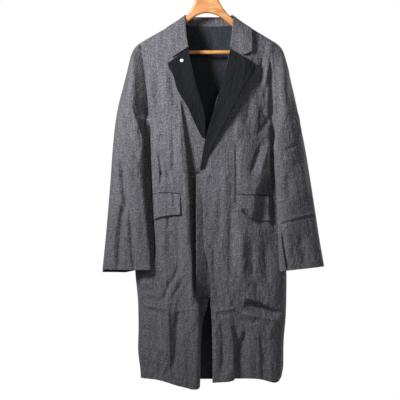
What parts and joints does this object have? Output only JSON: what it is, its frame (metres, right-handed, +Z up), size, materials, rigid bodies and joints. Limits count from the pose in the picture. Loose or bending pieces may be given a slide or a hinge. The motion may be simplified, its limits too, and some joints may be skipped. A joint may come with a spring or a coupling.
{
  "type": "linen coat on a wooden hanger",
  "caption": "Long linen coat with notched lapels turned out to their black reverse, flap pockets and open cuffs, hung on a plain wooden hanger with a trouser bar.",
  "frame": {"origin": "the point inside the hook where it rests on a rail", "axes": "+Z up; the coat's front faces -Y; +X is to the right when the coat is seen from the front"},
  "size_m": [0.6683, 0.1247, 1.2624],
  "materials": {
    "linen": "slubbed charcoal grey linen, matt, with fine upright streaks",
    "linen_reverse": "matt black reverse of the double-faced linen",
    "stud_metal": "satin metal press stud",
    "hanger_wood": "clear varnished pale orange wood",
    "hook_metal": "bright plated wire"
  },
  "bodies": {
    "root": {"front_left": "linen", "front_right": "linen", "back": "linen", "upper_sleeve_left": "linen", "under_sleeve_left": "linen", "upper_sleeve_right": "linen", "under_sleeve_right": "linen", "collar": "linen", "lapel_left": "linen_reverse", "lapel_right": "linen_reverse", "pocket_flap_left": "linen", "pocket_flap_right": "linen", "fly_strip": "linen", "press_stud": "stud_metal", "hanger_yoke": "hanger_wood", "hanger_bar": "hanger_wood", "hanger_hook": "hook_metal"}
  },
  "joints": []
}
